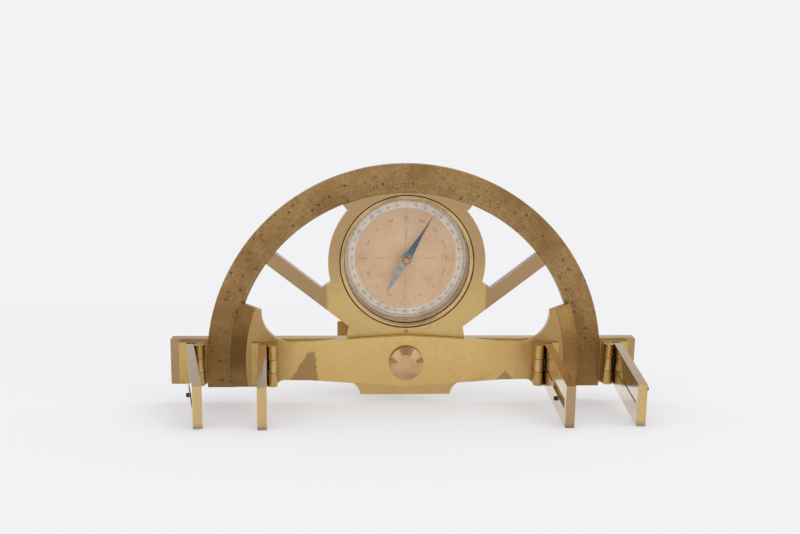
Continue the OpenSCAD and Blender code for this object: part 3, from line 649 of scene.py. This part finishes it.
class GRAPHOMETER_OT_finishes(bpy.types.Operator):
    """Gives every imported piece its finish"""

    bl_idname = "graphometer.finishes"
    bl_label = "Finish the metal, card and glass"

    def execute(self, context):
        tones = context.scene.graphometer_colours
        gold = tuple(tones.gold)
        brown = tuple(tones.brown)
        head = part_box("pivot_screw")
        middle = (head[0] + head[1]) / 2
        frame_brass = brass("frame_brass", gold, brown, stain_from=0.56, stain_to=0.8,
                            grain=(0.06, 1, 1), extra_stain_and_shade=frame_stain, coat=0.6)
        alidade_brass = brass("alidade_brass", shade(gold, 1.14)[:3], (0.37, 0.215, 0.08),
                              stain_from=0.6, stain_to=0.85, rough=0.26, grain=(0.03, 1, 1),
                              pit_size=0.08, extra_stain_and_shade=alidade_stain, coat=0.35)
        # The sights' long reach paints shade, with some tarnish, deep into their windows and
        # beside their hinges
        sight_brass = brass("sight_brass", shade(gold, 1.02)[:3], brown, stain_from=0.58,
                            stain_to=0.85, rough=0.13, grain=(1, 0.04, 1), pit_size=0.07,
                            extra_stain_and_shade=sight_stain, coat=1.0, reach=3.5 * MM, deep=1.0)
        fitting_brass = brass("fitting_brass", gold, brown, stain_from=0.48, stain_to=0.78,
                              rough=0.24, grain=(1, 1, 0.08), pit_size=0.09)
        knee_brass = brass("knee_brass", gold, (0.3, 0.18, 0.07), stain_from=0.46,
                           stain_to=0.74, pit_size=0.09)
        limb_brass = brass("limb_brass", brown, (0.26, 0.14, 0.046), stain_from=0.43,
                           stain_to=0.68, rough=0.36, pit_size=0.21, extra_stain_and_shade=limb_stain,
                           pit_thin=0.37, mottle=0.2)
        left_vernier_brass = self.vernier_brass("left_vernier_brass", (0.32, 0.185, 0.07),
                                                (0.14, 0.07, 0.02))
        right_vernier_brass = self.vernier_brass("right_vernier_brass", (0.5, 0.3, 0.11),
                                                 (0.3, 0.165, 0.055))
        cap_brass = turned_brass("cap_brass", (0.5, 0.28, 0.15), (0.3, 0.15, 0.08),
                                 PLACE @ COMPASS)
        red_brass = turned_brass("red_brass", (0.68, 0.43, 0.23), (0.5, 0.28, 0.14),
                                 middle, rough=0.13)
        bezel_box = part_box("compass_bezel")
        bezel_brass = turned_brass("bezel_brass", (0.66, 0.46, 0.22), (0.4, 0.25, 0.11),
                                   (bezel_box[0] + bezel_box[1]) / 2, ring_scale=520.0,
                                   rough=0.16)
        bright_steel = steel("bright_steel", (0.42, 0.4, 0.36), 0.3)
        dark_steel = steel("dark_steel", (0.07, 0.06, 0.05), 0.42)
        dull_pin = steel("dull_pin", (0.4, 0.28, 0.12), 0.4)
        finishes = {
            "graduated_limb": limb_brass,
            "cross_frame": frame_brass,
            "limb_screws": bright_steel,
            "flange_screws": bright_steel,
            "compass_box": fitting_brass,
            "box_nut": fitting_brass,
            "dial_plate": dial_copper(tuple(tones.dial)),
            "degree_ring": silvering(tuple(tones.silver)),
            "needle_pivot": bright_steel,
            "needle": needle_steel(),
            "needle_cap": cap_brass,
            "compass_glass": crystal(),
            "compass_bezel": bezel_brass,
            "alidade_bar": alidade_brass,
            "vernier_left": left_vernier_brass,
            "vernier_right": right_vernier_brass,
            "pivot_screw": red_brass,
            "pivot_washer": fitting_brass,
            "steady_pin": dull_pin,
            "clamp_screw": knee_brass,
        }
        hair = hair_fibre()
        for name, node in frame["nodes"].items():
            if name in finishes:
                chosen = finishes[name]
            elif name.startswith("sight_"):
                chosen = sight_brass
            elif name.startswith("base_"):
                chosen = fitting_brass
            elif name.startswith("pin_"):
                chosen = bright_steel
            elif name.startswith("peg_"):
                chosen = dark_steel
            elif name.startswith("hair_"):
                chosen = hair
            else:
                chosen = knee_brass
            node.data.materials.clear()
            node.data.materials.append(chosen)
        return {"FINISHED"}

    def vernier_brass(self, name, clean, stained_and_shaded):
        """A vernier's bare brass in its own two tones."""
        return brass(name, clean, stained_and_shaded, stain_from=0.45, stain_to=0.8, pit_size=0.12,
                     extra_stain_and_shade=vernier_stain, pit_thin=0.48, mottle=0.1)


class GRAPHOMETER_OT_limb_scale(bpy.types.Operator):
    """Engraves degrees and figures on the half-circle"""

    bl_idname = "graphometer.limb_scale"
    bl_label = "Engrave the limb"

    def execute(self, context):
        sizes = context.scene.graphometer_sizes
        start = sizes.limb_scale
        wide = sizes.line_width
        high = sizes.line_height
        face = Vector((0, SINK - high / 2, 0))
        lines = bmesh.new()
        ones_end = start + 1.8 * MM
        fives_end = start + 2.8 * MM
        tens_end = start + 3.8 * MM
        ticks(lines, face, start, ones_end, wide, high, 0, 1, 181)
        ticks(lines, face, start, fives_end, wide, high, 0, 5, 37)
        ticks(lines, face, start, tens_end, wide * 1.3, high, 0, 10, 19)
        for radius in (start, ones_end, tens_end):
            arc_line(lines, face, radius, wide, high, -6, 192, 128)
        for degree in range(10, 180, 10):
            letters(lines, str(degree), face, start + 5.9 * MM, 180 - degree,
                    sizes.figure_size, high)
        filling = ink("limb_engraving", (0.14, 0.09, 0.04), (0.26, 0.165, 0.08))
        make_piece("limb_engraving", lines, PLACE, filling, "limb")
        return {"FINISHED"}


class GRAPHOMETER_OT_vernier_scales(bpy.types.Operator):
    """Engraves the divisions of both verniers"""

    bl_idname = "graphometer.vernier_scales"
    bl_label = "Engrave the verniers"

    def execute(self, context):
        sizes = context.scene.graphometer_sizes
        high = sizes.line_height
        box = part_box("vernier_right")
        face = Vector((0, VERNIER_FACE - high / 2 + SINK, 0))
        outer = (box[1].x - PLACE.translation.x) - 0.2 * MM
        lines = bmesh.new()
        for start, step in ((-7.0, 0.9), (187.0, -0.9)):
            ticks(lines, face, outer - 2.0 * MM, outer, sizes.line_width, high, start, step, 31)
            ticks(lines, face, outer - 3.0 * MM, outer, sizes.line_width * 1.3, high, start,
                  step * 5, 7)
            for count in (0, 10, 20, 30):
                letters(lines, str(count), face, outer - 4.2 * MM, start + step * count,
                        1.7 * MM, high)
        filling = ink("vernier_engraving", (0.1, 0.06, 0.03), (0.22, 0.14, 0.07))
        make_piece("vernier_engraving", lines, PLACE, filling, "alidade")
        return {"FINISHED"}


class GRAPHOMETER_OT_compass_ring(bpy.types.Operator):
    """Engraves degrees and figures on the silvered ring"""

    bl_idname = "graphometer.compass_ring"
    bl_label = "Engrave the compass ring"

    def execute(self, context):
        sizes = context.scene.graphometer_sizes
        high = sizes.line_height
        wide = 0.1 * MM
        face = in_compass(sizes.ring_front - high / 2 + SINK)
        outer = sizes.ring_outer - 0.15 * MM
        lines = bmesh.new()
        ones_end = outer - 1.2 * MM
        fives_end = outer - 1.7 * MM
        tens_end = outer - 2.2 * MM
        ticks(lines, face, ones_end, outer, wide, high, 0, 1, 360)
        ticks(lines, face, fives_end, outer, wide * 1.2, high, 0, 5, 72)
        ticks(lines, face, tens_end, outer, wide * 1.4, high, 0, 10, 36)
        for radius in (ones_end, sizes.ring_inner + 0.25 * MM):
            arc_line(lines, face, radius, wide, high, 0, 360, 128)
        for degree in range(0, 360, 10):
            letters(lines, str(degree), face, outer - 3.3 * MM, 90 - degree, 1.35 * MM, high)
        filling = ink("ring_engraving", (0.03, 0.03, 0.03), (0.13, 0.12, 0.1))
        make_piece("ring_engraving", lines, PLACE, filling, "limb")
        return {"FINISHED"}


class GRAPHOMETER_OT_compass_card(bpy.types.Operator):
    """Draws the cross, the points and their letters on the compass card"""

    bl_idname = "graphometer.compass_card"
    bl_label = "Engrave the compass card"

    def execute(self, context):
        sizes = context.scene.graphometer_sizes
        high = sizes.line_height
        wide = 0.12 * MM
        rim = sizes.ring_inner - 0.15 * MM
        face = in_compass(sizes.dial_front - high / 2 + SINK)
        lines = bmesh.new()
        ticks(lines, face, 3.4 * MM, rim, wide, high, 0, 90, 4)
        ticks(lines, face, 6 * MM, 15.5 * MM, wide * 0.8, high, 45, 90, 4)
        arc_line(lines, face, 3.3 * MM, wide * 0.7, high, 0, 360, 96)
        self.arrows(lines, face, rim, wide, high)
        faint = ink("card_lines", (0.36, 0.18, 0.09), (0.62, 0.38, 0.22))
        make_piece("card_lines", lines, PLACE, faint, "limb")
        words = bmesh.new()
        points = ("N", "NNE", "NE", "ENE", "E", "ESE", "SE", "SSE", "S", "SSW", "SW", "WSW",
                  "W", "WNW", "NW", "NNW")
        for number, point in enumerate(points):
            size = (2.1 if len(point) == 1 else 1.4) * MM
            letters(words, point, face, 19.6 * MM, 90 + 22.5 * number, size, high)
        dark = ink("card_letters", (0.2, 0.11, 0.07), (0.42, 0.25, 0.15))
        make_piece("card_letters", words, PLACE, dark, "limb")
        return {"FINISHED"}

    def arrows(self, bm, face, rim, wide, high):
        """Two lines that close towards the middle beside each arm of the cross."""
        root = 8.6 * MM
        spread = 1.7 * MM
        reach = rim - root
        lean = math.atan2(spread, reach)
        long = math.hypot(reach, spread)
        for quarter in range(4):
            for side in (-1, 1):
                start = face + Vector((root, 0, 0))
                middle = start + Vector((long / 2, 0, 0))
                verts = bar(bm, middle, (long, high, wide * 0.8), side * lean, start)
                turn = Matrix.Rotation(math.radians(90 * quarter), 3, FRONT)
                bmesh.ops.rotate(bm, cent=face, matrix=turn, verts=verts)


class GRAPHOMETER_OT_thumb_screw_milling(bpy.types.Operator):
    """Mills the edge of the thumb screw's head"""

    bl_idname = "graphometer.thumb_screw_milling"
    bl_label = "Mill the thumb screw"

    def execute(self, context):
        ribs = 36
        rib_radius = 0.32 * MM
        head_radius = 5.45 * MM
        head_middle = 17.3 * MM
        rib = bmesh.new()
        made = bmesh.ops.create_cone(rib, cap_ends=True, segments=6, radius1=rib_radius,
                                     radius2=rib_radius, depth=2.9 * MM)
        bmesh.ops.translate(rib, vec=(head_radius, 0, head_middle), verts=made["verts"])
        bmesh.ops.spin(rib, geom=rib.verts[:] + rib.edges[:] + rib.faces[:], cent=(0, 0, 0),
                       axis=(0, 0, 1), dvec=(0, 0, 0), angle=math.tau * (ribs - 1) / ribs,
                       steps=ribs - 1, use_duplicate=True, use_merge=False,
                       use_normal_flip=False)
        finish = bpy.data.materials["knee_brass"]
        make_piece("thumb_screw_milling", rib, thumb_screw_matrix(), finish, "thumb_screw")
        return {"FINISHED"}


class GRAPHOMETER_OT_stage(bpy.types.Operator):
    """Sets the pale floor, the soft light and the camera"""

    bl_idname = "graphometer.stage"
    bl_label = "Set the stage"

    def execute(self, context):
        pale = tuple(context.scene.graphometer_colours.backdrop)
        self.floor(pale)
        self.room(pale)
        self.lamps()
        self.camera(context)
        context.scene.view_settings.view_transform = "Standard"
        return {"FINISHED"}

    def floor(self, pale):
        """A wide floor with soft shadows near the instrument, which fades into the room."""
        bm = bmesh.new()
        bmesh.ops.create_circle(bm, cap_ends=True, segments=64, radius=9.0)
        mesh = bpy.data.meshes.new("floor")
        bm.to_mesh(mesh)
        bm.free()
        tree = Tree("floor_paper")
        tree.put(tree.shader, "Base Color", (0.78, 0.78, 0.79, 1))
        tree.put(tree.shader, "Roughness", 0.9)
        tree.put(tree.shader, "Specular IOR Level", 0.1)
        glow = tree.add("ShaderNodeEmission")
        tree.put(glow, "Color", colour(pale))
        ways = tree.add("ShaderNodeLightPath")
        seen = tree.maths("MAXIMUM", ways.outputs["Is Camera Ray"], ways.outputs["Is Glossy Ray"])
        seen = tree.maths("MAXIMUM", seen, ways.outputs["Is Transmission Ray"])
        away = tree.add("ShaderNodeVectorMath", operation="LENGTH")
        tree.put(away, 0, tree.place)
        far = tree.ramp(away.outputs["Value"], 0.25, 0.8, 0.45, 1.0)
        blend = tree.add("ShaderNodeMixShader")
        tree.put(blend, 0, tree.maths("MULTIPLY", far, seen))
        tree.put(blend, 1, tree.shader.outputs["BSDF"])
        tree.put(blend, 2, glow.outputs["Emission"])
        tree.put(tree.output, "Surface", blend.outputs["Shader"])
        mesh.materials.append(tree.material)
        floor = bpy.data.objects.new("floor", mesh)
        bpy.context.scene.collection.objects.link(floor)

    def room(self, pale):
        """A pale room, darker overhead in reflections only, and a plain white fill."""
        world = bpy.data.worlds.new("pale_room")
        bpy.context.scene.world = world
        world.use_nodes = True
        nodes = world.node_tree.nodes
        links = world.node_tree.links
        ways = nodes.new("ShaderNodeLightPath")
        either = nodes.new("ShaderNodeMath")
        either.operation = "MAXIMUM"
        blend = nodes.new("ShaderNodeMixShader")
        darken = nodes.new("ShaderNodeMixShader")
        fill = nodes["Background"]
        shown = nodes.new("ShaderNodeBackground")
        above = nodes.new("ShaderNodeBackground")
        fill.inputs["Color"].default_value = (1, 1, 1, 1)
        fill.inputs["Strength"].default_value = 0.88
        shown.inputs["Color"].default_value = colour(pale)
        above.inputs["Color"].default_value = (0.4, 0.385, 0.4, 1)
        place = nodes.new("ShaderNodeTexCoord")
        split = nodes.new("ShaderNodeSeparateXYZ")
        height = nodes.new("ShaderNodeMapRange")
        height.inputs["From Min"].default_value = 0.31
        height.inputs["From Max"].default_value = 0.5
        links.new(place.outputs["Object"], split.inputs["Vector"])
        links.new(split.outputs["Z"], height.inputs["Value"])
        links.new(height.outputs["Result"], darken.inputs[0])
        links.new(shown.outputs["Background"], darken.inputs[1])
        links.new(above.outputs["Background"], darken.inputs[2])
        links.new(ways.outputs["Is Camera Ray"], either.inputs[0])
        links.new(ways.outputs["Is Transmission Ray"], either.inputs[1])
        links.new(ways.outputs["Is Glossy Ray"], blend.inputs[0])
        links.new(fill.outputs["Background"], blend.inputs[1])
        links.new(darken.outputs["Shader"], blend.inputs[2])
        seen = nodes.new("ShaderNodeMixShader")
        links.new(either.outputs["Value"], seen.inputs[0])
        links.new(blend.outputs["Shader"], seen.inputs[1])
        links.new(shown.outputs["Background"], seen.inputs[2])
        links.new(seen.outputs["Shader"], nodes["World Output"].inputs["Surface"])

    def lamps(self):
        """A broad lamp overhead and behind, and two weaker ones at the front."""
        for name, energy, size, spot in (
            ("overhead", 3.8, 1.2, Vector((0.3, 0.55, 1.2))),
            ("left_front", 2.2, 0.6, Vector((-0.75, -0.75, 0.85))),
            ("right_front", 2.2, 0.6, Vector((0.85, -0.7, 0.85))),
        ):
            data = bpy.data.lights.new(name, type="AREA")
            data.energy = energy
            data.size = size
            lamp = bpy.data.objects.new(name, data)
            lamp.location = spot
            aim = Vector((0, 0, 0.04)) - spot
            lamp.rotation_euler = aim.to_track_quat("-Z", "Y").to_euler()
            bpy.context.scene.collection.objects.link(lamp)

    def camera(self, context):
        """The photograph's view: close, a little above the bar and turned slightly right."""
        down = math.radians(11.0)
        yaw = math.radians(3.5)
        roll = math.radians(0.8)
        distance = 474.8 * MM
        ahead = Vector((math.sin(yaw) * math.cos(down), math.cos(yaw) * math.cos(down),
                        -math.sin(down)))
        right = Vector((math.cos(yaw), -math.sin(yaw), 0))
        up = right.cross(ahead)
        right_rolled = math.cos(roll) * right + math.sin(roll) * up
        up_rolled = math.cos(roll) * up - math.sin(roll) * right
        target = Vector((-3.35 * MM, 0, 46.1 * MM))
        local = Matrix((right_rolled, up_rolled, -ahead)).transposed().to_4x4()
        local.translation = target - distance * ahead
        data = bpy.data.cameras.new("camera")
        data.sensor_width = 36
        data.lens = 45
        data.clip_start = 0.01
        data.clip_end = 30
        camera = bpy.data.objects.new("camera", data)
        camera.matrix_world = PLACE @ local
        context.scene.collection.objects.link(camera)
        context.scene.camera = camera


STEPS = (
    GRAPHOMETER_OT_finishes,
    GRAPHOMETER_OT_limb_scale,
    GRAPHOMETER_OT_vernier_scales,
    GRAPHOMETER_OT_compass_ring,
    GRAPHOMETER_OT_compass_card,
    GRAPHOMETER_OT_thumb_screw_milling,
    GRAPHOMETER_OT_stage,
)


class GRAPHOMETER_PT_panel(bpy.types.Panel):
    """Lists the steps, sizes and colours"""

    bl_idname = "GRAPHOMETER_PT_panel"
    bl_label = "Graphometer"
    bl_space_type = "VIEW_3D"
    bl_region_type = "UI"
    bl_category = "Graphometer"

    def draw(self, context):
        layout = self.layout
        for step in STEPS:
            layout.operator(step.bl_idname)
        for group in (context.scene.graphometer_sizes, context.scene.graphometer_colours):
            column = layout.column()
            for name in group.bl_rna.properties.keys():
                if name not in ("rna_type", "name"):
                    column.prop(group, name)


CLASSES = (GraphometerSizes, GraphometerColours) + STEPS + (GRAPHOMETER_PT_panel,)


def register():
    for item in CLASSES:
        bpy.utils.register_class(item)
    bpy.types.Scene.graphometer_sizes = bpy.props.PointerProperty(type=GraphometerSizes)
    bpy.types.Scene.graphometer_colours = bpy.props.PointerProperty(type=GraphometerColours)


def unregister():
    del bpy.types.Scene.graphometer_colours
    del bpy.types.Scene.graphometer_sizes
    for item in reversed(CLASSES):
        bpy.utils.unregister_class(item)


def main():
    register()
    bpy.ops.graphometer.finishes()
    bpy.ops.graphometer.limb_scale()
    bpy.ops.graphometer.vernier_scales()
    bpy.ops.graphometer.compass_ring()
    bpy.ops.graphometer.compass_card()
    bpy.ops.graphometer.thumb_screw_milling()
    bpy.ops.graphometer.stage()


if __name__ == "__main__":
    main()
